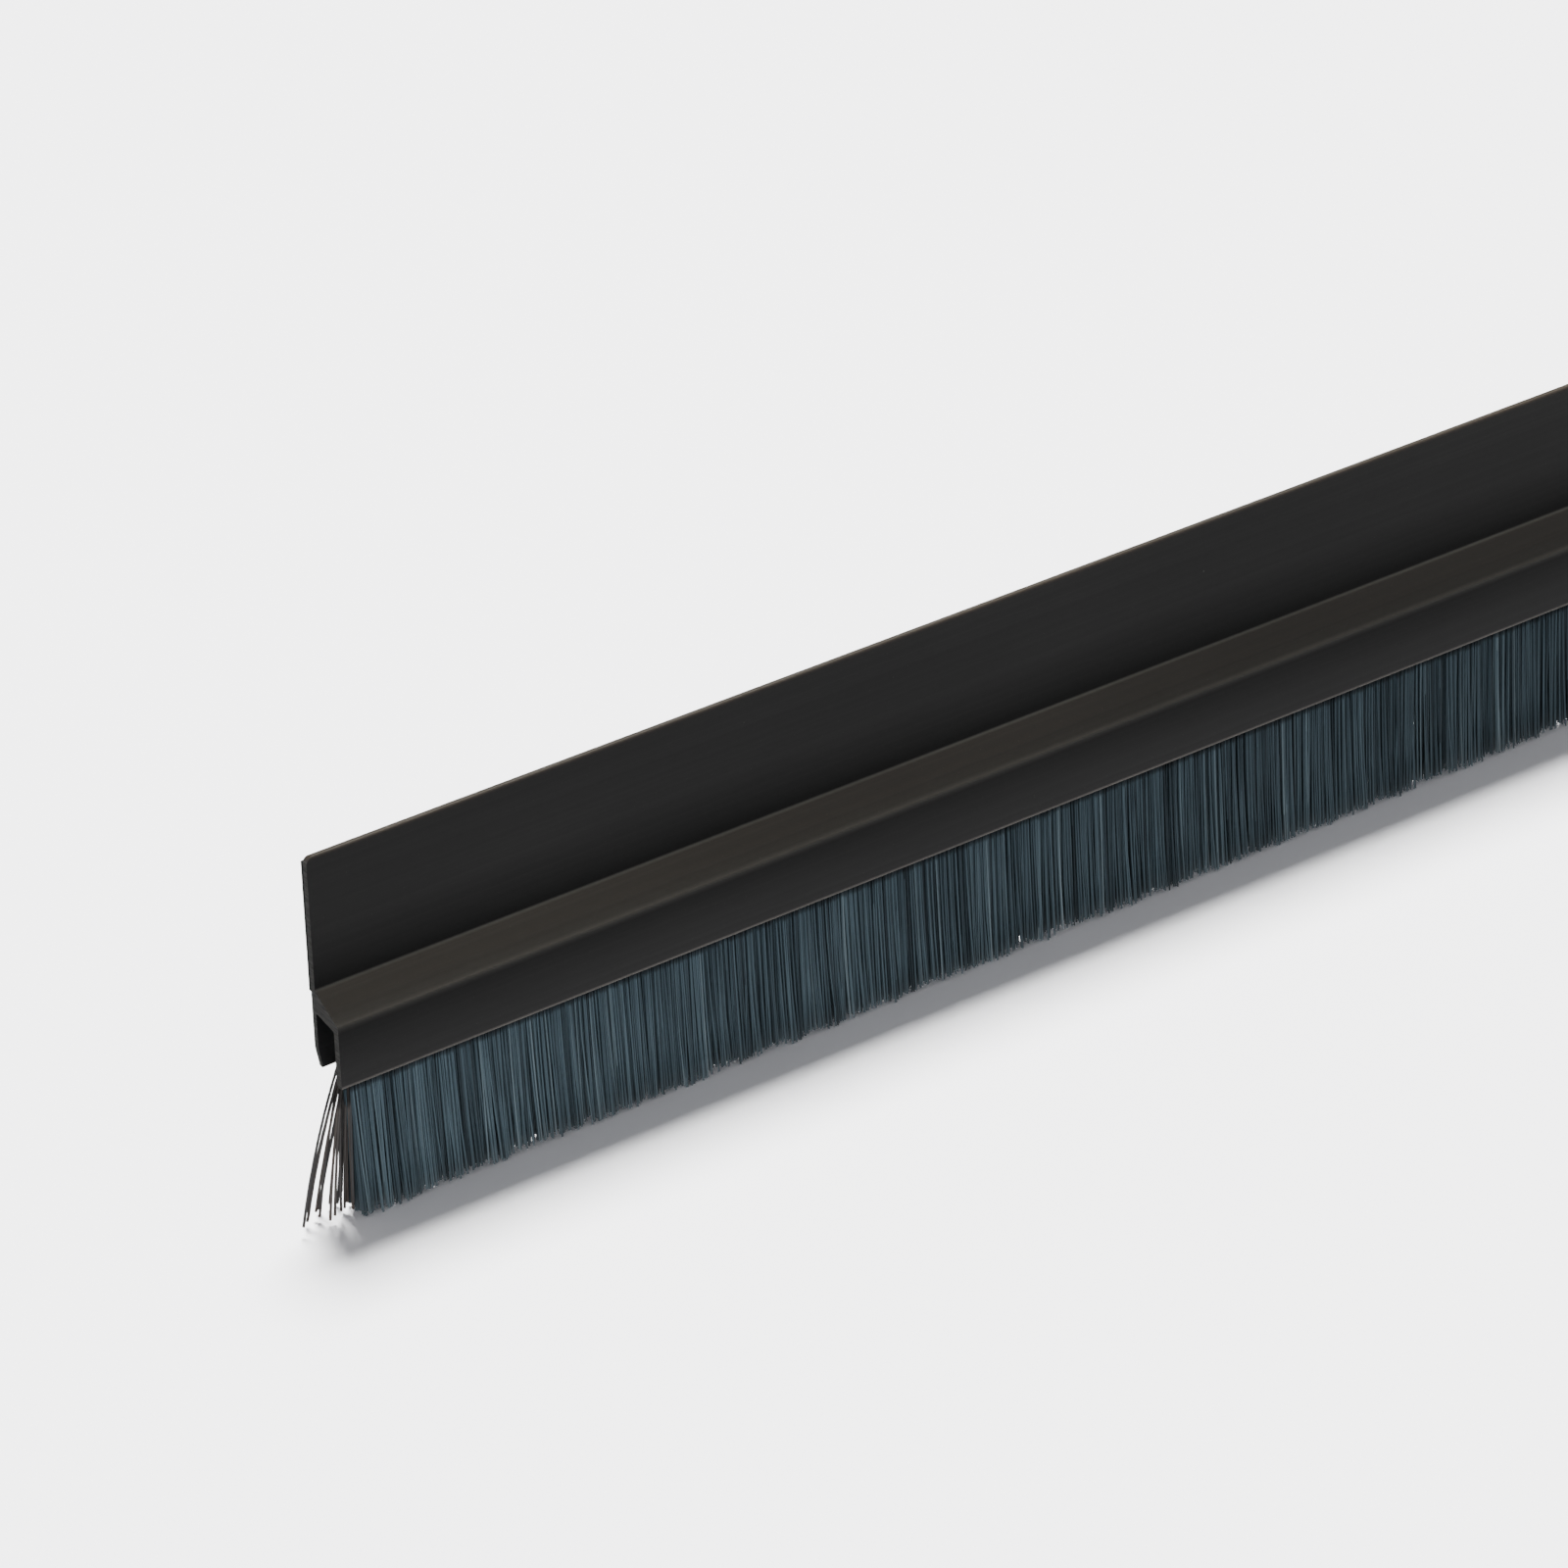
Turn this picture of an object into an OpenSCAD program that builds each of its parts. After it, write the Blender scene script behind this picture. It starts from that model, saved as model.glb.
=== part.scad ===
// Self-adhesive brush door sweep: a plastic carrier strip with a strip brush in its channel.
// The strip runs along X, the door is on the +Y side and +Z is up.
// The origin is the centre of the tape's back face, where the strip sticks to the door.
// Heights with the suffix _h are measured up from the front leg's bottom edge.

/* [Carrier strip] */
// Length of the strip
strip_l = 914; // [300:1:1200]
// Height from the front leg's bottom edge to the flange's top edge
carrier_h = 34.9; // [30:0.1:42]
// Radius of the flange's two top corners
corner_r = 1.2; // [0.5:0.1:3]
// Thickness of the flat flange
flange_t = 1.0; // [0.8:0.1:1.3]
// Thickness of the front leg
front_leg_t = 1.2; // [1:0.1:1.5]
// Thickness of the back leg
back_leg_t = 1.0; // [0.8:0.1:1.3]
// Clear width of the channel between the legs
channel_w = 4.5; // [4.5:0.1:5]

/* [Shelf and channel] */
// Height of the crease where the flange meets the sloped shelf
crease_h = 13.4; // [12.8:0.1:15]
// Height of the shelf's outer edge, above the front leg
shoulder_h = 10.2; // [10:0.1:11]
// Height of the channel's roof at the front leg
roof_front_h = 9.0; // [8.8:0.1:9.2]
// Height of the channel's roof at the back leg
roof_back_h = 9.8; // [9.4:0.1:10]
// How far the back leg stops above the front leg's bottom edge
back_leg_up = 1.2; // [0.8:0.1:1.5]
// Height of the slanted lip at the bottom of the back leg
lip_h = 2.6; // [2.2:0.1:3]
// How far the lip slants into the channel
lip_in = 1.0; // [0.8:0.1:1.1]
// How far the rib inside the front leg stands into the channel
rib_out = 0.6; // [0.4:0.1:0.7]

/* [Mounting tape] */
// Thickness of the foam tape
tape_t = 0.5; // [0.4:0.1:1]
// Width of the foam tape
tape_w = 21; // [16:0.5:22]
// How far the tape stops below the flange's top edge
tape_top_inset = 1; // [0.5:0.1:2]

/* [Strip brush] */
// How far the brush stops short of each end of the carrier
brush_inset = 2.5; // [2:0.1:6]
// Width of the metal backing
backing_w = 4.2; // [4:0.1:4.3]
// Height of the metal backing
backing_h = 5.6; // [5:0.1:5.8]
// Thickness of the backing's sheet metal
backing_t = 0.5; // [0.4:0.05:0.6]
// Height of the backing's bottom edge
backing_bottom_h = 2.7; // [2.6:0.1:2.9]
// Clear width of the backing's crimped mouth
mouth_w = 2.3; // [2.2:0.05:2.4]
// Diameter of the wire that the bristles are folded round
wire_d = 1.2; // [1:0.1:1.3]

/* [Bristles] */
// How far the bristles reach below the front leg's bottom edge
bristle_drop = 22.8; // [15:0.5:40]
// Thickness of the bristle row where it leaves the backing
root_t = 2.0; // [1.8:0.1:2]
// Thickness of the bristle row at its tips
tip_t = 5.2; // [4:0.1:8]
// How far the line that the bristles bend about is below the front leg's bottom edge
bend_drop = 1.2; // [1:0.1:2]
// Number of sections that the bristle row is divided into
section_count = 16; // [6:1:40]

/* [Hidden] */
$fn = 64;

FIXED_NODES = ["carrier_profile", "mounting_tape", "brush_backing", "core_wire", "bristle_roots"];

carrier_color = [0.13, 0.13, 0.135];
tape_color = [0.06, 0.06, 0.06];
steel_color = [0.62, 0.63, 0.64];
bristle_color = [0.22, 0.28, 0.32];

// Height of the origin above the front leg's bottom edge
origin_h = carrier_h - tape_top_inset - tape_w / 2;
// Y of the flange's back face and of the front leg's outer face
back_y = -tape_t;
front_y = back_y - back_leg_t - channel_w - front_leg_t;
// Y of the channel's two walls and of its middle
wall_back_y = back_y - back_leg_t;
wall_front_y = front_y + front_leg_t;
mid_y = (wall_back_y + wall_front_y) / 2;
// Small rounding on the extrusion's outer and inner corners
edge_r = 0.3;
crease_r = 0.6;
shoulder_r = 0.45;
leg_end_r = 0.25;
// The front rib slopes like the lip, so that both hold the backing's crimped edges
rib_top_h = 3.4;
rib_tip_h = 2.2;
rib_bottom_h = 1.8;
rib_r = 0.1;
// The backing's crimp and bend
crimp_h = 1.2;
crimp_r = 0.1;
bend_r = 0.9;
// The bristles' fold round the wire, and its gaps to the backing and to the wire
fold_side_gap = 0.1;
fold_r = backing_w / 2 - backing_t - fold_side_gap;
fold_top_gap = 0.05;
fold_gap = 0.02;
wire_below_top = backing_t + fold_r + fold_top_gap;
// Gap between the moving bristles and their roots, and between neighbouring sections
bend_gap = 0.15;
section_gap = 0.1;
// How far a cutting shape runs past what it cuts
past = 1;

brush_l = strip_l - 2 * brush_inset;
section_l = brush_l / section_count;
bend_h = -bend_drop;
wire_h = backing_bottom_h + backing_h - wire_below_top;

// Name of bristle section i, counted from 1 at the -X end
function section_name(i) = str("bristles_", i < 10 ? "0" : "", i);

// Z of a height above the front leg's bottom edge
function z_of(h) = h - origin_h;

// Points of an arc of radius r that rounds corner b of the path a, b, c
function corner_arc(a, b, c, r, steps = 6) =
    let (
        u = (a - b) / norm(a - b),
        v = (c - b) / norm(c - b),
        half = acos(u * v) / 2,
        centre = b + (u + v) / norm(u + v) * r / sin(half),
        p = b + u * r / tan(half) - centre,
        q = b + v * r / tan(half) - centre,
        start = atan2(p.y, p.x),
        turn = (atan2(q.y, q.x) - start + 540) % 360 - 180
    )
    [for (k = [0:steps]) centre + r * [cos(start + turn * k / steps), sin(start + turn * k / steps)]];

// Outline with rounded corners, from a list of [y, z, radius]
function rounded(pts) =
    let (n = len(pts), flat = [for (p = pts) [p[0], p[1]]])
    [for (i = [0:n - 1])
        each pts[i][2] == 0
            ? [flat[i]]
            : corner_arc(flat[(i + n - 1) % n], flat[i], flat[(i + 1) % n], pts[i][2])];

// A Y-Z section extruded along X from x0 over length l
module along_x(x0, l) {
    translate([x0, 0, 0])
        rotate([90, 0, 90])
            linear_extrude(l)
                children();
}

// Section of the carrier: flange, sloped shelf, front leg, channel and back leg with its lip
module carrier_section() {
    polygon(rounded([
        [back_y, z_of(carrier_h), edge_r],
        [back_y, z_of(back_leg_up + lip_h), leg_end_r],
        [back_y - lip_in, z_of(back_leg_up), leg_end_r],
        [wall_back_y - lip_in, z_of(back_leg_up), leg_end_r],
        [wall_back_y, z_of(back_leg_up + lip_h), leg_end_r],
        [wall_back_y, z_of(roof_back_h), edge_r],
        [wall_front_y, z_of(roof_front_h), edge_r],
        [wall_front_y, z_of(rib_top_h), 0],
        [wall_front_y + rib_out, z_of(rib_tip_h), rib_r],
        [wall_front_y, z_of(rib_bottom_h), 0],
        [wall_front_y, z_of(0), leg_end_r],
        [front_y, z_of(0), leg_end_r],
        [front_y, z_of(shoulder_h), shoulder_r],
        [back_y - flange_t, z_of(crease_h), crease_r],
        [back_y - flange_t, z_of(carrier_h), edge_r]
    ]));
}

// Front view of the strip, with the flange's top corners rounded
module front_view() {
    half = strip_l / 2;
    translate([-half, z_of(-past)])
        square([strip_l, carrier_h + past - corner_r]);
    translate([-half + corner_r, z_of(carrier_h) - 2 * corner_r])
        square([strip_l - 2 * corner_r, 2 * corner_r]);
    for (side = [-1, 1])
        translate([side * (half - corner_r), z_of(carrier_h) - corner_r])
            circle(corner_r);
}

module carrier_profile() {
    color(carrier_color)
        intersection() {
            along_x(-strip_l / 2, strip_l) carrier_section();
            rotate([90, 0, 0])
                linear_extrude(past - front_y)
                    front_view();
        }
}

module mounting_tape() {
    color(tape_color)
        translate([-strip_l / 2, back_y, -tape_w / 2])
            cube([strip_l, tape_t, tape_w]);
}

// Crimped steel channel that grips the folded bristles
module brush_backing() {
    top = z_of(backing_bottom_h + backing_h);
    bottom = z_of(backing_bottom_h);
    half = backing_w / 2;
    inner = half - backing_t;
    inner_r = bend_r - backing_t;
    color(steel_color)
        along_x(-brush_l / 2, brush_l)
            translate([mid_y, 0])
                polygon(rounded([
                    [-half, top, bend_r],
                    [-half, bottom + crimp_h, 0],
                    [-mouth_w / 2 - backing_t, bottom, crimp_r],
                    [-mouth_w / 2, bottom, crimp_r],
                    [-inner, bottom + crimp_h, 0],
                    [-inner, top - backing_t, inner_r],
                    [inner, top - backing_t, inner_r],
                    [inner, bottom + crimp_h, 0],
                    [mouth_w / 2, bottom, crimp_r],
                    [mouth_w / 2 + backing_t, bottom, crimp_r],
                    [half, bottom + crimp_h, 0],
                    [half, top, bend_r]
                ]));
}

module core_wire() {
    color(steel_color)
        translate([-brush_l / 2, mid_y, z_of(wire_h)])
            rotate([0, 90, 0])
                cylinder(h = brush_l, d = wire_d);
}

// The bristles' folded tops, from the wire down to the line that they bend about
module bristle_roots() {
    color(bristle_color)
        along_x(-brush_l / 2, brush_l)
            difference() {
                union() {
                    translate([mid_y, z_of(wire_h)])
                        circle(fold_r);
                    translate([mid_y - root_t / 2, z_of(bend_h)])
                        square([root_t, wire_h - bend_h]);
                }
                translate([mid_y, z_of(wire_h)])
                    circle(wire_d / 2 + fold_gap);
                translate([mid_y, z_of(bend_h)])
                    circle(root_t / 2 + bend_gap);
            }
}

// One section of the free bristles, with a round top on the line that it bends about
module bristle_section(i) {
    color(bristle_color)
        along_x(-brush_l / 2 + (i - 1) * section_l + section_gap / 2, section_l - section_gap)
            translate([mid_y, z_of(bend_h)]) {
                circle(root_t / 2);
                polygon([
                    [-root_t / 2, 0],
                    [-tip_t / 2, bend_drop - bristle_drop],
                    [tip_t / 2, bend_drop - bristle_drop],
                    [root_t / 2, 0]
                ]);
            }
}

carrier_profile();
mounting_tape();
brush_backing();
core_wire();
bristle_roots();
for (i = [1:section_count])
    bristle_section(i);
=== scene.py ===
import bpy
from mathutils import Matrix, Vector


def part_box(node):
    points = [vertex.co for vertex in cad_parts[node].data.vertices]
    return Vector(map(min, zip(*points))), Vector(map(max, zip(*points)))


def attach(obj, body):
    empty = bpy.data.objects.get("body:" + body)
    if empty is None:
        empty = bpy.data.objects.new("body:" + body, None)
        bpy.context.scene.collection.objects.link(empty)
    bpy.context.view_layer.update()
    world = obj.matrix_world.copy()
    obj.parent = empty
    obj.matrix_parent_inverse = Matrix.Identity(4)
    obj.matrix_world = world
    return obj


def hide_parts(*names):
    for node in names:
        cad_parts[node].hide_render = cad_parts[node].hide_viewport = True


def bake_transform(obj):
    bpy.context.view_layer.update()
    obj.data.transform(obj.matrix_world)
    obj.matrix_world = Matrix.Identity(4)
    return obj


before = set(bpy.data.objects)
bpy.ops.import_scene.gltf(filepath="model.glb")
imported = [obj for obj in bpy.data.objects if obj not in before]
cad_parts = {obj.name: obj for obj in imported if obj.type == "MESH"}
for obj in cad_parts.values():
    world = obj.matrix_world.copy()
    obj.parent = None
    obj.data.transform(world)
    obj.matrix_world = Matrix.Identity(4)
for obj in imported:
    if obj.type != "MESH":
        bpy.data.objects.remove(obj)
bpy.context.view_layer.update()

import math

import bpy
import numpy as np
from mathutils import Matrix, Vector

MM = 0.001

# Places read from the frame, in metres
carrier_lo, carrier_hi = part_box("carrier_profile")
backing_lo, backing_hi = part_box("brush_backing")
wire_lo, wire_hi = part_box("core_wire")
leg_bottom = carrier_lo.z
mid_y = (wire_lo.y + wire_hi.y) / 2
wire_z = (wire_lo.z + wire_hi.z) / 2
wire_r = (wire_hi.z - wire_lo.z) / 2
section_names = sorted(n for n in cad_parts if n.startswith("bristles_"))
tip_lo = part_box(section_names[0])[0].z

# Camera: left of the sweep and above it, aimed at its left end. Angles are in degrees
CAMERA_AZIMUTH, CAMERA_ELEVATION, CAMERA_ROLL = 34.69, 31.22, -1.26
CAMERA_DISTANCE = 0.9197
CAMERA_LENS, CAMERA_SENSOR = 148.4, 36
CAMERA_CLIP = (0.01, 50)
AIM_FROM_LEFT, AIM_ABOVE_LEG = 75.5 * MM, 22.0 * MM


def make_camera():
    """The camera, turned to face the aim from its azimuth and elevation, and rolled about its view."""
    az, el, roll = (math.radians(a) for a in (CAMERA_AZIMUTH, CAMERA_ELEVATION, CAMERA_ROLL))
    look = Vector((math.cos(el) * math.sin(az), math.cos(el) * math.cos(az), -math.sin(el)))
    right = Vector((math.cos(az), -math.sin(az), 0))
    up = right.cross(look)
    turned_right = right * math.cos(roll) + up * math.sin(roll)
    turned_up = up * math.cos(roll) - right * math.sin(roll)
    aim = Vector((carrier_lo.x + AIM_FROM_LEFT, carrier_lo.y, leg_bottom + AIM_ABOVE_LEG))
    data = bpy.data.cameras.new("camera")
    data.lens = CAMERA_LENS
    data.sensor_width = CAMERA_SENSOR
    data.clip_start, data.clip_end = CAMERA_CLIP
    cam = bpy.data.objects.new("camera", data)
    turn = Matrix((turned_right, turned_up, -look)).transposed().to_4x4()
    cam.matrix_world = Matrix.Translation(aim - look * CAMERA_DISTANCE) @ turn
    bpy.context.scene.collection.objects.link(cam)
    bpy.context.scene.camera = cam


make_camera()


# ---------------------------------------------------------------- node helpers

class Shader:
    """A material with a Principled shader, and short calls that add nodes to it."""

    def __init__(self, name):
        self.mat = bpy.data.materials.new(name)
        self.mat.use_nodes = True
        self.nt = self.mat.node_tree
        self.bsdf = self.nt.nodes["Principled BSDF"]

    def node(self, kind, inputs=None, **settings):
        n = self.nt.nodes.new(kind)
        for key, value in settings.items():
            setattr(n, key, value)
        for key, value in (inputs or {}).items():
            self.put(n.inputs[key], value)
        return n

    def put(self, socket, value):
        """Links a socket to another node's output, or sets its plain value."""
        if isinstance(value, bpy.types.NodeSocket):
            self.nt.links.new(value, socket)
        else:
            socket.default_value = value

    def set(self, **values):
        """Sets the Principled shader's inputs, with _ for each space in their names."""
        for key, value in values.items():
            self.put(self.bsdf.inputs[key.replace("_", " ")], value)

    def place(self, scale=(1, 1, 1)):
        """The piece's own coordinates, in metres, stretched by scale."""
        coords = self.node("ShaderNodeTexCoord").outputs["Object"]
        return self.node("ShaderNodeMapping", {"Vector": coords, "Scale": scale}).outputs[0]

    def noise(self, scale, stretch=(1, 1, 1), detail=3.0, roughness=0.55):
        return self.node("ShaderNodeTexNoise", {
            "Vector": self.place(stretch), "Scale": scale, "Detail": detail, "Roughness": roughness,
        }).outputs["Fac"]

    def cells(self, scale, output="Distance"):
        """Scattered cells: the distance to the nearest centre, or a random colour for each cell."""
        return self.node("ShaderNodeTexVoronoi", {"Vector": self.place(), "Scale": scale}).outputs[output]

    def cell_greys(self, scale):
        """A random grey for each cell."""
        return self.node("ShaderNodeRGBToBW", {0: self.cells(scale, output="Color")}).outputs[0]

    def math(self, operation, a, b=0.0):
        return self.node("ShaderNodeMath", {0: a, 1: b}, operation=operation).outputs[0]

    def blend(self, a, share_a, b, share_b):
        """A weighted sum of two values."""
        return self.math("ADD", self.math("MULTIPLY", a, share_a), self.math("MULTIPLY", b, share_b))

    def ramp(self, value, stops):
        """A colour ramp through stops of (position, colour or grey)."""
        n = self.node("ShaderNodeValToRGB", {"Fac": value})
        elements = n.color_ramp.elements
        while len(elements) < len(stops):
            elements.new(0.5)
        for e, (at, colour) in zip(elements, stops):
            e.position = at
            e.color = (*colour, 1) if isinstance(colour, tuple) else (colour, colour, colour, 1)
        return n.outputs["Color"]

    def mix(self, share, a, b, blend="MIX"):
        n = self.node("ShaderNodeMix", {"Factor": share}, data_type="RGBA", blend_type=blend)
        first_colour, second_colour, mixed_colour = 6, 7, 2
        self.put(n.inputs[first_colour], a)
        self.put(n.inputs[second_colour], b)
        return n.outputs[mixed_colour]

    def facing(self, axis, at_least=0.9):
        """1 where the surface faces along X (0), Y (1) or Z (2), else 0."""
        normal = self.node("ShaderNodeTexCoord").outputs["Normal"]
        part = self.node("ShaderNodeSeparateXYZ", {0: normal}).outputs[axis]
        return self.math("GREATER_THAN", self.math("ABSOLUTE", part), at_least)

    def bump(self, height, distance, strength, after=None):
        """A normal bumped by height. after is the normal that it adds to."""
        inputs = {"Height": height, "Distance": distance, "Strength": strength}
        if after is not None:
            inputs["Normal"] = after
        return self.node("ShaderNodeBump", inputs).outputs[0]


def rgb(r, g, b):
    return (r, g, b, 1)


# --------------------------------------------------------------- black plastic

# The carrier's section
CREASE_ABOVE_LEG = 13.4 * MM
SHOULDER_ABOVE_LEG = 10.2 * MM
FLANGE_T = 1.0 * MM

# Painted shade and light: soft bands of tone along the plastic, darker just above the crease and at the
# shoulder, and lighter further down the front leg. Each starts at a height above the leg's bottom edge and
# runs over a reach, upwards or (where it is negative) downwards, from its first tone to its last
PAINTED_SHADE_BANDS = [
    (CREASE_ABOVE_LEG, 9 * MM, 0.32, 1.0),
    (SHOULDER_ABOVE_LEG, 2.2 * MM, 0.50, 1.0),
    (SHOULDER_ABOVE_LEG, -8 * MM, 0.50, 1.25),
]
BAND_EDGE = 0.01

# Painted highlights along edges: Y, Z, half the width of the highlight line, and its colour
PAINTED_EDGE_HIGHLIGHTS = [
    (carrier_hi.y - FLANGE_T, leg_bottom + CREASE_ABOVE_LEG, 0.4 * MM, (0.052, 0.052, 0.049)),
    (carrier_lo.y, leg_bottom + SHOULDER_ABOVE_LEG, 0.9 * MM, (0.031, 0.031, 0.030)),
    (carrier_hi.y - FLANGE_T / 2, carrier_hi.z, 0.8 * MM, (0.042, 0.033, 0.026)),
    (carrier_lo.y, leg_bottom, 0.6 * MM, (0.185, 0.175, 0.165)),
]

# Pale specks. Every cell has a fine one, and dust is only in the cells with the lightest random greys
FINE_CELLS_PER_M, FINE_SHARE, FINE_COLOUR = 700, 0.35, (0.10, 0.10, 0.095)
DUST_CELLS_PER_M, DUST_FROM_GREY, DUST_COLOUR = 250, 0.7, (0.24, 0.24, 0.22)


def edge_line(s, y, z, half_width):
    """1 on a line along the strip at (y, z), fading to 0 at half_width from it."""
    flat = s.place((0, 1, 1))
    away = s.node("ShaderNodeVectorMath", {0: flat, 1: (0, y, z)}, operation="DISTANCE").outputs["Value"]
    return s.ramp(s.math("DIVIDE", away, 2 * half_width), [(0.15, 1.0), (0.5, 0.0)])


def fine_specks(s, tone):
    mask = s.ramp(s.cells(FINE_CELLS_PER_M), [(0.0, 1.0), (0.07, 0.0)])
    return s.mix(s.math("MULTIPLY", mask, FINE_SHARE), tone, rgb(*FINE_COLOUR))


def painted_shade_bands(s, tone):
    # Painted shade and light: multiplies the tone by bands that darken the crease and shoulder and lighten
    # the lower leg
    height = s.node("ShaderNodeSeparateXYZ", {0: s.place()}).outputs[2]
    for above_leg, reach, first, last in PAINTED_SHADE_BANDS:
        along = s.math("DIVIDE", s.math("SUBTRACT", height, leg_bottom + above_leg), reach)
        tone = s.mix(1.0, tone, s.ramp(along, [(0.0, 1.0), (BAND_EDGE, first), (1.0, last)]), "MULTIPLY")
    return tone


def painted_edge_highlights(s, tone, cloudy):
    # Painted highlights: lighter lines along the crease, the shoulder, the flange's top and the leg's bottom
    # edge
    for y, z, half_width, colour in PAINTED_EDGE_HIGHLIGHTS:
        highlight = s.math("MULTIPLY", edge_line(s, y, z, half_width), s.ramp(cloudy, [(0.3, 0.6), (0.7, 1.0)]))
        tone = s.mix(highlight, tone, rgb(*colour))
    return tone


def dust_specks(s, tone):
    picked = s.math("GREATER_THAN", s.cell_greys(DUST_CELLS_PER_M), DUST_FROM_GREY)
    near_centre = s.ramp(s.cells(DUST_CELLS_PER_M), [(0.03, 1.0), (0.055, 0.0)])
    return s.mix(s.math("MULTIPLY", picked, near_centre), tone, rgb(*DUST_COLOUR))


def black_plastic():
    """Extruded black PVC: faint die lines, a soft sheen, some dust, painted edge highlights, painted shade
    and light bands, dull sawn ends.
    """
    s = Shader("black_plastic")
    die_lines = s.noise(1.0, stretch=(3, 1600, 1600), detail=4)
    cloudy = s.noise(45, stretch=(0.25, 1, 1), detail=5)
    saw_marks = s.noise(1.0, stretch=(60, 400, 5200), detail=2)
    sawn = s.facing(0)
    tone = s.ramp(s.blend(die_lines, 0.4, cloudy, 0.6), [
        (0.30, (0.0205, 0.0205, 0.0214)),
        (0.55, (0.0253, 0.0253, 0.0262)),
        (0.75, (0.0310, 0.0310, 0.0317)),
    ])
    tone = dust_specks(s, painted_edge_highlights(s, painted_shade_bands(s, fine_specks(s, tone)), cloudy))
    sawn_tone = s.ramp(saw_marks, [(0.3, (0.038, 0.038, 0.038)), (0.7, (0.078, 0.078, 0.075))])
    shine = s.ramp(s.blend(die_lines, 0.5, cloudy, 0.5), [(0.30, 0.30), (0.70, 0.42)])
    lines = s.bump(die_lines, distance=0.06 * MM, strength=0.35)
    peel = s.bump(s.noise(900, detail=2), distance=0.04 * MM, strength=0.25, after=lines)
    marks = s.bump(s.math("MULTIPLY", saw_marks, sawn), distance=0.2 * MM, strength=0.5, after=peel)
    s.set(Base_Color=s.mix(sawn, tone, sawn_tone), Roughness=s.mix(sawn, shine, rgb(0.8, 0.8, 0.8)),
          Normal=marks, Specular_IOR_Level=0.15)
    return s.mat


# ------------------------------------------------------------- other materials

def foam_tape():
    """Black closed-cell foam with a tacky, slightly glossy adhesive face."""
    s = Shader("foam_tape")
    cell_walls = s.cells(2600)
    patches = s.noise(60, detail=4)
    sticky = s.facing(1)
    foam = s.ramp(cell_walls, [(0.1, (0.006, 0.006, 0.006)), (0.6, (0.018, 0.018, 0.018))])
    glue = s.ramp(patches, [(0.35, (0.014, 0.014, 0.015)), (0.65, (0.020, 0.020, 0.020))])
    gloss = s.ramp(patches, [(0.35, 0.36), (0.65, 0.44)])
    pores = s.bump(cell_walls, distance=0.2 * MM, strength=0.6)
    waves = s.bump(s.noise(240, detail=3), distance=0.2 * MM, strength=0.3, after=pores)
    s.set(Base_Color=s.mix(sticky, foam, glue), Roughness=s.mix(sticky, rgb(0.9, 0.9, 0.9), gloss),
          Normal=waves, Specular_IOR_Level=0.25)
    return s.mat


def galvanised_steel():
    """Zinc-coated steel: spangle, rolling lines, and a crimp mark every few millimetres."""
    s = Shader("galvanised_steel")
    rolled = s.noise(1.0, stretch=(12, 2600, 2600), detail=3)
    zinc = s.blend(s.cell_greys(420), 0.5, rolled, 0.5)
    crimps = s.node("ShaderNodeTexWave", {"Vector": s.place(), "Scale": 32.0, "Distortion": 0.4},
                    wave_type="BANDS", bands_direction="X").outputs["Fac"]
    dents = s.bump(s.ramp(crimps, [(0.85, 0.0), (1.0, 1.0)]), distance=0.3 * MM, strength=0.6)
    s.set(Base_Color=s.ramp(zinc, [(0.2, (0.30, 0.31, 0.32)), (0.8, (0.56, 0.57, 0.58))]),
          Roughness=s.ramp(zinc, [(0.2, 0.30), (0.8, 0.50)]), Metallic=1.0,
          Normal=s.bump(rolled, distance=0.05 * MM, strength=0.4, after=dents))
    return s.mat


def bristle_fibre():
    """Slate-blue nylon. Each filament has its own shade, darkened by painted shade under the leg and
    lightened by painted light at its tip.
    """
    s = Shader("bristle_fibre")
    shade = s.node("ShaderNodeAttribute", attribute_name="shade").outputs["Fac"]
    along = s.node("ShaderNodeAttribute", attribute_name="along").outputs["Fac"]
    # The shades below 0.1 are the brownish loose filaments at the row's ends
    colour = s.ramp(shade, [
        (0.0, (0.058, 0.050, 0.046)),
        (0.1, (0.019, 0.029, 0.036)),
        (0.35, (0.036, 0.055, 0.068)),
        (0.75, (0.056, 0.084, 0.102)),
        (1.0, (0.112, 0.150, 0.172)),
    ])
    mottle = s.ramp(s.noise(380, stretch=(1, 1, 0.2), detail=3), [(0.3, 0.82), (0.7, 1.12)])
    # Painted shade darkens the filaments in and just below the backing, under the leg; painted light lightens
    # them towards the tips
    painted_shade_and_light = s.ramp(along, [
        (0.0, 0.5),
        (0.31, 0.17),
        (0.345, 0.45),
        (0.37, 0.97),
        (0.93, (1.15, 1.12, 1.10)),
        (1.0, (1.55, 1.35, 1.28)),
    ])
    mottled = s.mix(1.0, colour, mottle, "MULTIPLY")
    s.set(Base_Color=s.mix(1.0, mottled, painted_shade_and_light, "MULTIPLY"),
          Roughness=s.ramp(shade, [(0.0, 0.62), (1.0, 0.42)]), Specular_IOR_Level=0.2)
    return s.mat


def floor_paint():
    s = Shader("floor_paint")
    white = s.ramp(s.noise(3, detail=2), [(0.3, (0.83, 0.84, 0.89)), (0.7, (0.85, 0.86, 0.91))])
    s.set(Base_Color=white, Roughness=0.7, Specular_IOR_Level=0.1)
    return s.mat


def assign(obj, mat):
    obj.data.materials.clear()
    obj.data.materials.append(mat)


PLASTIC, FOAM, STEEL, FIBRE = black_plastic(), foam_tape(), galvanised_steel(), bristle_fibre()
for node_name, mat in (
    ("carrier_profile", PLASTIC),
    ("mounting_tape", FOAM),
    ("brush_backing", STEEL),
    ("core_wire", STEEL),
):
    assign(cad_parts[node_name], mat)


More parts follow.
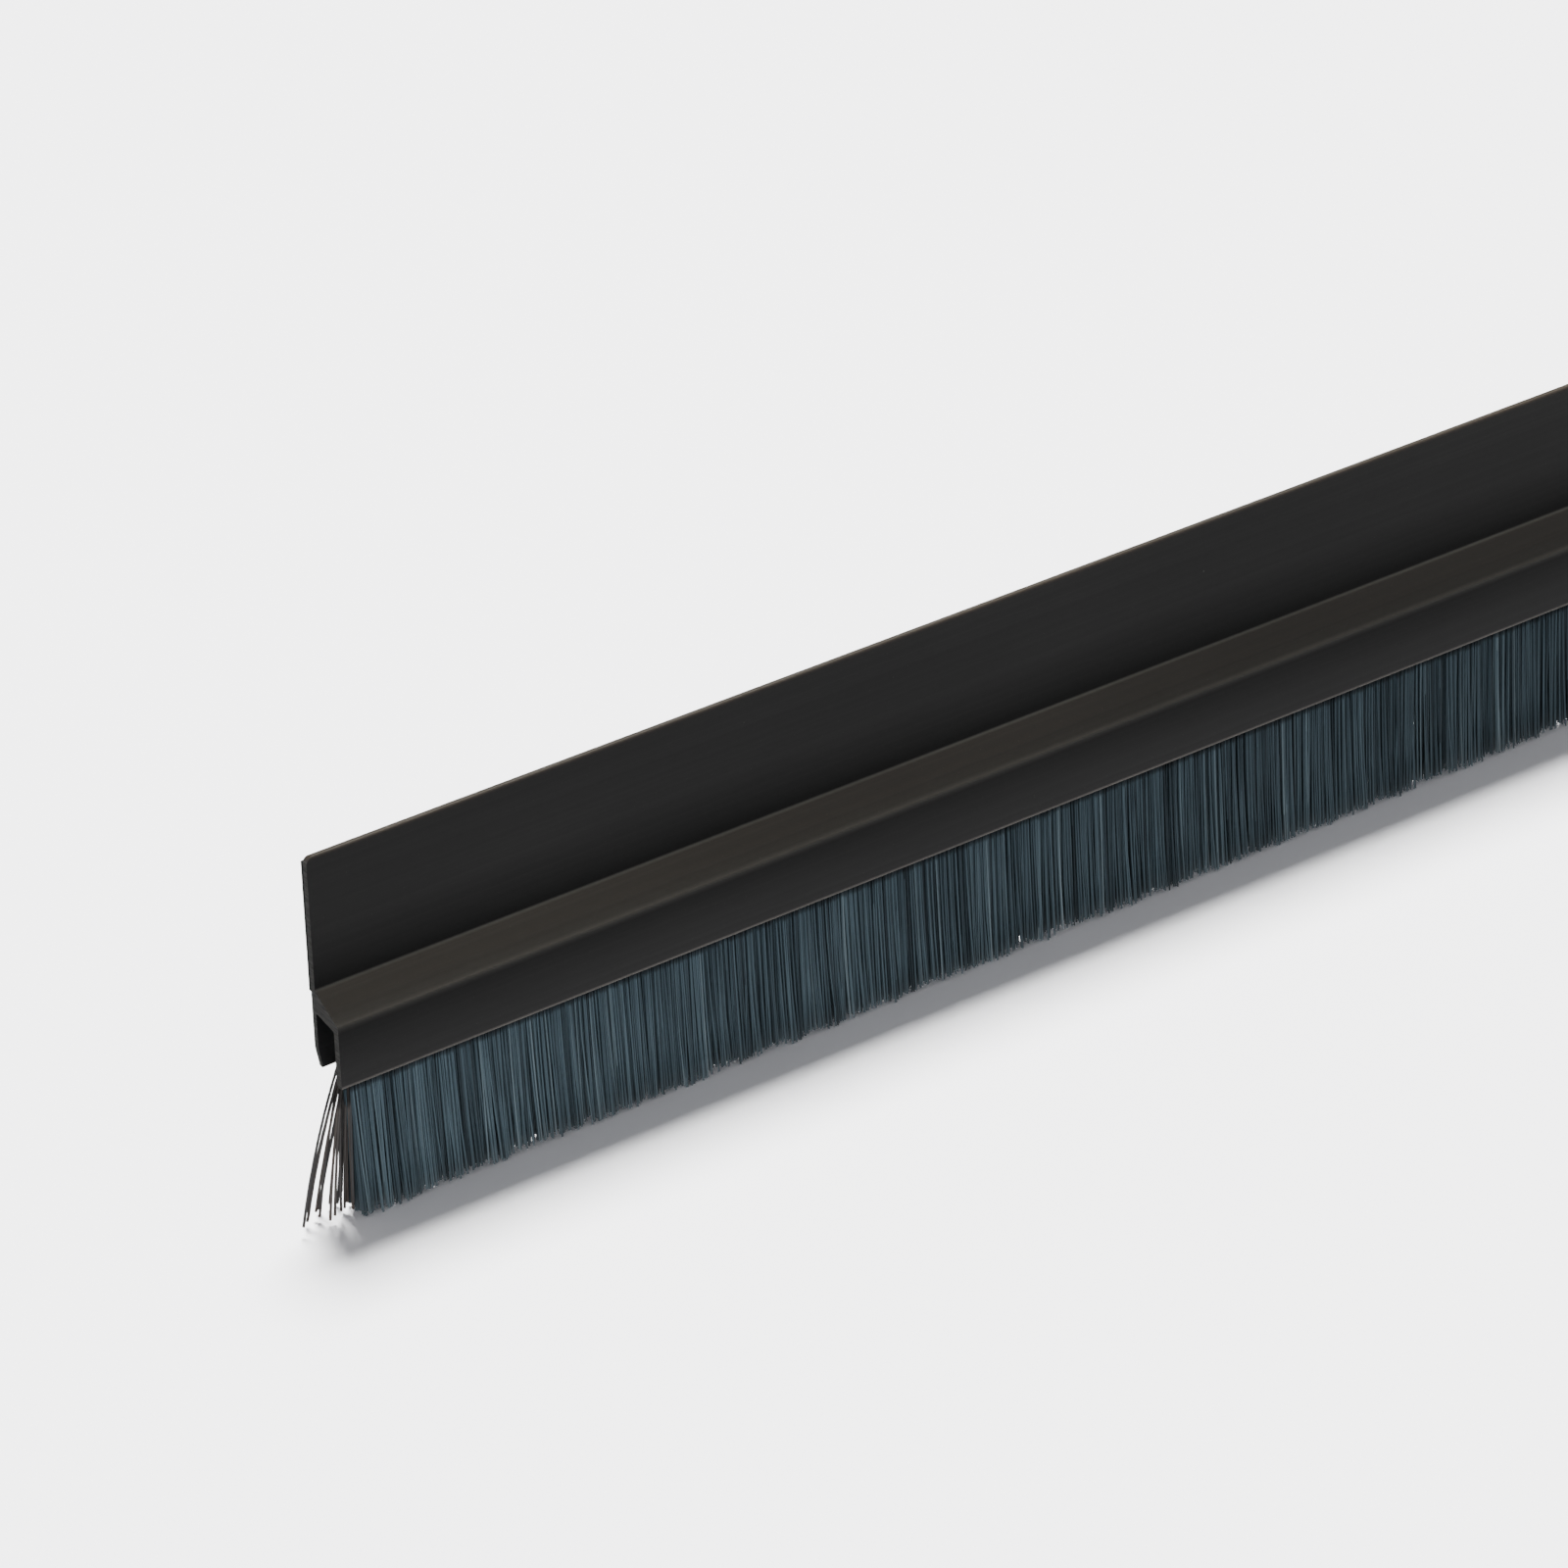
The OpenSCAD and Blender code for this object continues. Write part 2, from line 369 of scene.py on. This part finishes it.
# -------------------------------------------------------------------- bristles
# All the sizes here are in millimetres, and heights are above the front leg's bottom edge

SEED = 41
SIDES = 4
FILAMENT_R = 0.155
THINNEST, THICKEST = 0.9, 1.12            # as shares of FILAMENT_R

# Where the filaments leave the backing, where they reach the CAD solids' tips, and the stations between
ROOT_H = 4.2
TIP_H = (tip_lo - leg_bottom) / MM
STATION_HEIGHTS = np.array([ROOT_H, 0.4, -2.2, -4.8, -8.5, -15.0])
LONGEST_PAST_CAD = 0.85

# Half of the row's thickness at the backing's mouth and at the tips, and how its filaments fan out and lean
MOUTH_HALF, TIP_HALF = 0.85, 2.3
FAN_START, FAN_CURVE = 0.45, 0.55
ROW_LEAN = 0.35
TIP_Y_SPREAD, CUT_SPREAD = 0.12, 0.17

# Loose filaments fill the row's thickness, and neighbours cross
LOOSE_PER_MM = 22
LOOSE_CROSSING, LOOSE_BOW, LOOSE_PAST_CAD = 0.28, 0.11, 0.25
LOOSE_SHADE, LOOSE_SHADE_SPREAD = 0.5, 0.17

# The even layer in the middle of the row, its shade darker than the loose filaments' as painted shade inside
# the row
MIDDLE_STEP = 0.16
MIDDLE_SPREAD, MIDDLE_BOW, MIDDLE_PAST_CAD = 0.12, 0.02, 0.75
MIDDLE_SHADE_PAINTED_DARKER, MIDDLE_SHADE_SPREAD = 0.36, 0.12
DARKEST_SHADE = 0.1

# Stray filaments that fan out past the row's ends. Pairs are a least and a most
STRAY_R = 0.24
STRAY_COUNT, STRAY_STATIONS = 18, 9
STRAY_INSET = (0.1, 1.2)                  # from the row's end in to their roots
STRAY_NEAREST, STRAY_REACH, STRAY_REACH_SPREAD = 0.4, 8.2, 0.3
STRAY_CURVE, STRAY_DROOP = 1.3, 0.35
STRAY_ROOT_Y, STRAY_TIP_Y, STRAY_TIP_RISE = (-0.8, 0.8), (-1.5, 3.0), (-0.4, 1.6)
STRAY_SHADES = (0.0, 0.05)

# Filaments folded over the core wire. Pairs are a least and a most
FOLD_COUNT, FOLD_STATIONS = 44, 9
FOLD_INSET = (0.15, 2.4)                  # from the row's end in to them
FOLD_FROM_WIRE = (0.17, 0.72)             # from the wire's surface
FOLD_FEET = (0.15, 0.95)                  # from the middle, as shares of MOUTH_HALF
FOLD_FOOT_BELOW_ROOT = 0.6
FOLD_SHADES = (0.2, 0.8)


def tubes(name, paths, radii, shades):
    """One mesh of many thin tubes. paths is (tube, station, xyz) in metres, and no tube runs along X."""
    count, stations, _ = paths.shape
    tangent = np.gradient(paths, axis=1)
    tangent /= np.linalg.norm(tangent, axis=2, keepdims=True)
    front = np.cross(tangent, np.array([1.0, 0.0, 0.0]))
    front /= np.linalg.norm(front, axis=2, keepdims=True)
    side = np.cross(front, tangent)
    angles = np.arange(SIDES) * 2 * math.pi / SIDES
    ring = (side[:, :, None] * np.cos(angles)[None, None, :, None]
            + front[:, :, None] * np.sin(angles)[None, None, :, None])
    points = paths[:, :, None] + ring * radii[:, None, None, None]

    base = (np.arange(count) * stations * SIDES)[:, None, None]
    row = (np.arange(stations - 1) * SIDES)[None, :, None]
    a = np.arange(SIDES)[None, None, :]
    b = (a + 1) % SIDES
    quads = np.stack([base + row + a, base + row + b, base + row + SIDES + b, base + row + SIDES + a], axis=3)
    last = base[:, :, 0] + (stations - 1) * SIDES + np.arange(SIDES)[None, :]
    first = base[:, :, 0] + np.arange(SIDES)[None, ::-1]
    faces = quads.reshape(-1, 4).tolist() + last.tolist() + first.tolist()

    mesh = bpy.data.meshes.new(name)
    mesh.from_pydata(points.reshape(-1, 3).tolist(), [], faces)
    side_faces = count * (stations - 1) * SIDES
    smooth = np.zeros(len(faces), bool)
    smooth[:side_faces] = True
    mesh.polygons.foreach_set("use_smooth", smooth)
    along = np.broadcast_to(np.linspace(0, 1, stations)[None, :, None], (count, stations, SIDES))
    shade = np.broadcast_to(shades[:, None, None], (count, stations, SIDES))
    for key, values in (("along", along), ("shade", shade)):
        attribute = mesh.attributes.new(key, "FLOAT", "POINT")
        attribute.data.foreach_set("value", values.astype(np.float32).ravel())
    obj = bpy.data.objects.new(name, mesh)
    bpy.context.scene.collection.objects.link(obj)
    obj.data.materials.append(FIBRE)
    return obj


def in_frame(paths):
    """Paths in metres in the frame, from paths in millimetres from mid-channel and the leg's bottom edge."""
    return paths * MM + np.array([0, mid_y, leg_bottom])


def waviness(seed, step, amount):
    """A wavy line along the whole row: random values every step, joined by straight lines."""
    knots = np.arange(backing_lo.x / MM - step, backing_hi.x / MM + 2 * step, step)
    values = np.random.default_rng(seed).normal(0, amount, len(knots))
    return lambda x: np.interp(x, knots, values)


lean_wide = waviness(SEED + 301, step=1.7, amount=0.20)
lean_fine = waviness(SEED + 302, step=0.6, amount=0.06)
length_wide = waviness(SEED + 303, step=3.1, amount=0.22)
length_fine = waviness(SEED + 304, step=0.9, amount=0.12)
shade_wide = waviness(SEED + 305, step=0.8, amount=0.13)


def filament_paths(rng, root_x, tip_x, root_y, bow, past_cad):
    """Paths in millimetres from the backing to the tips, which are cut about past_cad below the CAD tips."""
    n = len(root_x)
    tip_x = tip_x + ROW_LEAN + lean_wide(root_x) + lean_fine(root_x)
    tip_y = root_y / MOUTH_HALF * TIP_HALF + rng.normal(0, TIP_Y_SPREAD, n)
    cut_h = TIP_H - past_cad + length_wide(root_x) + length_fine(root_x) + rng.normal(0, CUT_SPREAD, n)
    tip_h = np.maximum(cut_h, TIP_H - LONGEST_PAST_CAD)
    t = np.append((ROOT_H - STATION_HEIGHTS) / (ROOT_H - TIP_H), 1.0)
    pz = ROOT_H + (tip_h - ROOT_H)[:, None] * t[None, :]
    ease = t * (FAN_START + FAN_CURVE * t)
    bow_x = rng.normal(0, bow, n)[:, None] * np.sin(math.pi * t)[None, :]
    bow_y = rng.normal(0, bow, n)[:, None] * np.sin(math.pi * t)[None, :]
    px = root_x[:, None] + (tip_x - root_x)[:, None] * ease[None, :] + bow_x
    py = root_y[:, None] + (tip_y - root_y)[:, None] * ease[None, :] + bow_y
    return np.stack([px, py, pz], axis=2)


def loose_filaments(rng, start, width):
    """Filaments all through the row's thickness, and their shades."""
    n = int(width * LOOSE_PER_MM)
    x = start + width * (np.arange(n) + rng.uniform(0, 1, n)) / n
    order = np.argsort(np.argsort(x + rng.normal(0, LOOSE_CROSSING, n)))
    tip_x = start + width * (order + rng.uniform(0, 1, n)) / n
    root_y = rng.uniform(-1, 1, n) * MOUTH_HALF
    paths = filament_paths(rng, x, tip_x, root_y, LOOSE_BOW, LOOSE_PAST_CAD)
    shades = rng.normal(LOOSE_SHADE, LOOSE_SHADE_SPREAD, n) + shade_wide(x)
    return paths, np.clip(shades, DARKEST_SHADE, 1)


def middle_filaments(rng, start, width):
    """An even layer in the middle of the row, so that no light comes through it, painted darker as shade
    inside the row.
    """
    n = int(width / MIDDLE_STEP)
    x = start + width * (np.arange(n) + 0.5) / n
    root_y = rng.normal(0, MIDDLE_SPREAD, n)
    paths = filament_paths(rng, x, x, root_y, MIDDLE_BOW, MIDDLE_PAST_CAD)
    return paths, np.clip(rng.normal(MIDDLE_SHADE_PAINTED_DARKER, MIDDLE_SHADE_SPREAD, n), DARKEST_SHADE, 1)


def bend_with_row(obj):
    """Bakes the filaments' transform into their mesh."""
    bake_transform(obj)


def bristle_section(name, index):
    """The filaments that replace one CAD section of the row."""
    lo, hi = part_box(name)
    rng = np.random.default_rng(SEED + index)
    loose, loose_shades = loose_filaments(rng, lo.x / MM, (hi.x - lo.x) / MM)
    middle, middle_shades = middle_filaments(rng, lo.x / MM, (hi.x - lo.x) / MM)
    paths = np.concatenate([loose, middle])
    radii = FILAMENT_R * MM * rng.uniform(THINNEST, THICKEST, len(paths))
    shades = np.concatenate([loose_shades, middle_shades])
    obj = tubes(name.replace("bristles", "filaments"), in_frame(paths), radii, shades)
    bend_with_row(obj)
    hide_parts(name)
    return obj


def stray_filaments(name, end_x, outward, seed):
    """Loose filaments that fan out past one end of the row. outward is -1 or 1, along X."""
    rng = np.random.default_rng(seed)
    n = STRAY_COUNT
    x = end_x - outward * rng.uniform(*STRAY_INSET, n)
    reach = STRAY_NEAREST + STRAY_REACH * np.linspace(0, 1, n) ** STRAY_CURVE
    reach += rng.normal(0, STRAY_REACH_SPREAD, n)
    t = np.linspace(0, 1, STRAY_STATIONS)
    tip_h = TIP_H + rng.uniform(*STRAY_TIP_RISE, n)
    pz = ROOT_H + (tip_h - ROOT_H)[:, None] * t[None, :]
    ease = t * (1 + STRAY_DROOP - STRAY_DROOP * t)
    px = x[:, None] + outward * reach[:, None] * ease[None, :]
    root_y = rng.uniform(*STRAY_ROOT_Y, n)
    tip_y = rng.uniform(*STRAY_TIP_Y, n)
    py = root_y[:, None] + (tip_y - root_y)[:, None] * t[None, :] ** STRAY_CURVE
    paths = np.stack([px, py, pz], axis=2)
    obj = tubes(name, in_frame(paths), np.full(n, STRAY_R * MM), rng.uniform(*STRAY_SHADES, n))
    bend_with_row(obj)
    return obj


def bristle_folds(name, end_x, outward, seed):
    """Filaments folded over the core wire, where the open end of the backing shows them."""
    rng = np.random.default_rng(seed)
    n = FOLD_COUNT
    x = end_x - outward * rng.uniform(*FOLD_INSET, n)
    around = wire_r / MM + rng.uniform(*FOLD_FROM_WIRE, n)
    angles = np.radians(np.linspace(0, 180, FOLD_STATIONS))
    wire_h = (wire_z - leg_bottom) / MM
    arc_y = around[:, None] * np.cos(angles)[None, :]
    arc_z = wire_h + around[:, None] * np.sin(angles)[None, :]
    foot_y = np.linspace(*FOLD_FEET, n)[rng.permutation(n)] * MOUTH_HALF
    foot_z = np.full((n, 1), ROOT_H - FOLD_FOOT_BELOW_ROOT)
    py = np.concatenate([foot_y[:, None], arc_y, -foot_y[:, None]], axis=1)
    pz = np.concatenate([foot_z, arc_z, foot_z], axis=1)
    px = np.broadcast_to(x[:, None], py.shape)
    paths = np.stack([px, py, pz], axis=2)
    obj = tubes(name, in_frame(paths), np.full(n, FILAMENT_R * MM), rng.uniform(*FOLD_SHADES, n))
    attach(obj, "brush_insert")
    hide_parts("bristle_roots")
    return obj


ENDS = [("left", backing_lo.x / MM, -1), ("right", backing_hi.x / MM, 1)]
filaments = [bristle_section(section, i) for i, section in enumerate(section_names)]
for number, (end, end_x, outward) in enumerate(ENDS, 1):
    filaments.append(stray_filaments("stray_filaments_" + end, end_x, outward, SEED + 100 + number))
for number, (end, end_x, outward) in enumerate(ENDS, 1):
    bristle_folds("filament_folds_" + end, end_x, outward, SEED + 200 + number)


# ------------------------------------------------------- floor, light and world

FLOOR_HALF = 12.0
FLOOR_GAP = 0.02 * MM

# The world's colour as a share of the horizon's, by height from -1 (straight down) to 1 (straight up)
HORIZON_STRENGTH = 3.0
WORLD_BANDS = [
    (-0.06, (0.15, 0.15, 0.15)),
    (-0.03, (1.0, 1.0, 1.0)),
    (0.08, (1.0, 1.0, 1.0)),
    (0.25, (0.138, 0.136, 0.136)),
]

# The key light comes from above, behind and the right. The floor gets more of it than the object does
KEY_FROM, KEY_ANGLE, KEY_COLOUR = (0.22, 0.265, 0.939), 18, (1.0, 0.985, 0.94)
KEY_STRENGTH, FLOOR_KEY_STRENGTH = 5.1, 12.9


def make_floor():
    """A white floor. The object isn't lit by its glare: the world below the horizon stands in for it."""
    z = tip_lo - LONGEST_PAST_CAD * MM - FLOOR_GAP
    mesh = bpy.data.meshes.new("floor")
    corners = [(-FLOOR_HALF, -FLOOR_HALF, z), (FLOOR_HALF, -FLOOR_HALF, z),
               (FLOOR_HALF, FLOOR_HALF, z), (-FLOOR_HALF, FLOOR_HALF, z)]
    mesh.from_pydata(corners, [], [(0, 1, 2, 3)])
    floor = bpy.data.objects.new("floor", mesh)
    bpy.context.scene.collection.objects.link(floor)
    floor.visible_diffuse = False
    floor.visible_glossy = False
    assign(floor, floor_paint())
    return floor


def make_world():
    """A pale band at the horizon, like a studio's back wall, between a dim ceiling and dim ground."""
    world = bpy.data.worlds.new("studio")
    world.use_nodes = True
    nodes, links = world.node_tree.nodes, world.node_tree.links
    up = nodes.new("ShaderNodeSeparateXYZ")
    links.new(nodes.new("ShaderNodeTexCoord").outputs["Generated"], up.inputs[0])
    height = nodes.new("ShaderNodeMapRange")
    height.inputs["From Min"].default_value = -1
    links.new(up.outputs["Z"], height.inputs["Value"])
    ramp = nodes.new("ShaderNodeValToRGB")
    links.new(height.outputs[0], ramp.inputs["Fac"])
    elements = ramp.color_ramp.elements
    while len(elements) < len(WORLD_BANDS):
        elements.new(0.5)
    for element, (z, share) in zip(elements, WORLD_BANDS):
        element.position = (z + 1) / 2
        element.color = (*share, 1)
    background = nodes["Background"]
    links.new(ramp.outputs["Color"], background.inputs["Color"])
    background.inputs["Strength"].default_value = HORIZON_STRENGTH
    bpy.context.scene.world = world


def add_lamp(data, direction, only):
    """A lamp that shines from a direction. Where only lists objects, it lights nothing else."""
    lamp = bpy.data.objects.new(data.name, data)
    lamp.rotation_mode = "QUATERNION"
    lamp.rotation_quaternion = (-Vector(direction)).to_track_quat("-Z", "Y")
    bpy.context.scene.collection.objects.link(lamp)
    if only:
        lit = bpy.data.collections.new(data.name + "_lit")
        for obj in only:
            lit.objects.link(obj)
        lamp.light_linking.receiver_collection = lit
    return lamp


def sun(name, direction, strength, soft_angle, colour, only=()):
    """A sun that shines from a direction, as wide as soft_angle in degrees."""
    data = bpy.data.lights.new(name, "SUN")
    data.energy = strength
    data.angle = math.radians(soft_angle)
    data.color = colour
    add_lamp(data, direction, only)


def studio_panel(name, direction, distance, size, radiance, colour, only=()):
    """A softbox that faces the sweep's near end from a direction, and that the camera doesn't see."""
    data = bpy.data.lights.new(name, "AREA")
    data.size = size
    data.energy = math.pi * size * size * radiance
    data.color = colour
    lamp = add_lamp(data, direction, only)
    aim = Vector((carrier_lo.x + AIM_FROM_LEFT, mid_y, leg_bottom))
    lamp.location = aim + Vector(direction).normalized() * distance
    lamp.visible_camera = False


floor = make_floor()
make_world()
sun("key", KEY_FROM, KEY_STRENGTH, KEY_ANGLE, KEY_COLOUR)
sun("floor_key", KEY_FROM, FLOOR_KEY_STRENGTH, KEY_ANGLE, KEY_COLOUR, only=[floor])
sun("shelf_light", (0.10, -0.10, 0.99), strength=1.7, soft_angle=8, colour=(1.0, 0.87, 0.66),
    only=[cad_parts["carrier_profile"]])
studio_panel("bristle_light", (-0.76, -0.62, 0.18), distance=0.3, size=0.2, radiance=6.3,
             colour=(0.96, 0.98, 1.0), only=filaments)
studio_panel("back_panel", (0.49, 0.70, 0.52), distance=1.5, size=0.5, radiance=2.0,
             colour=(1.0, 0.98, 0.92))
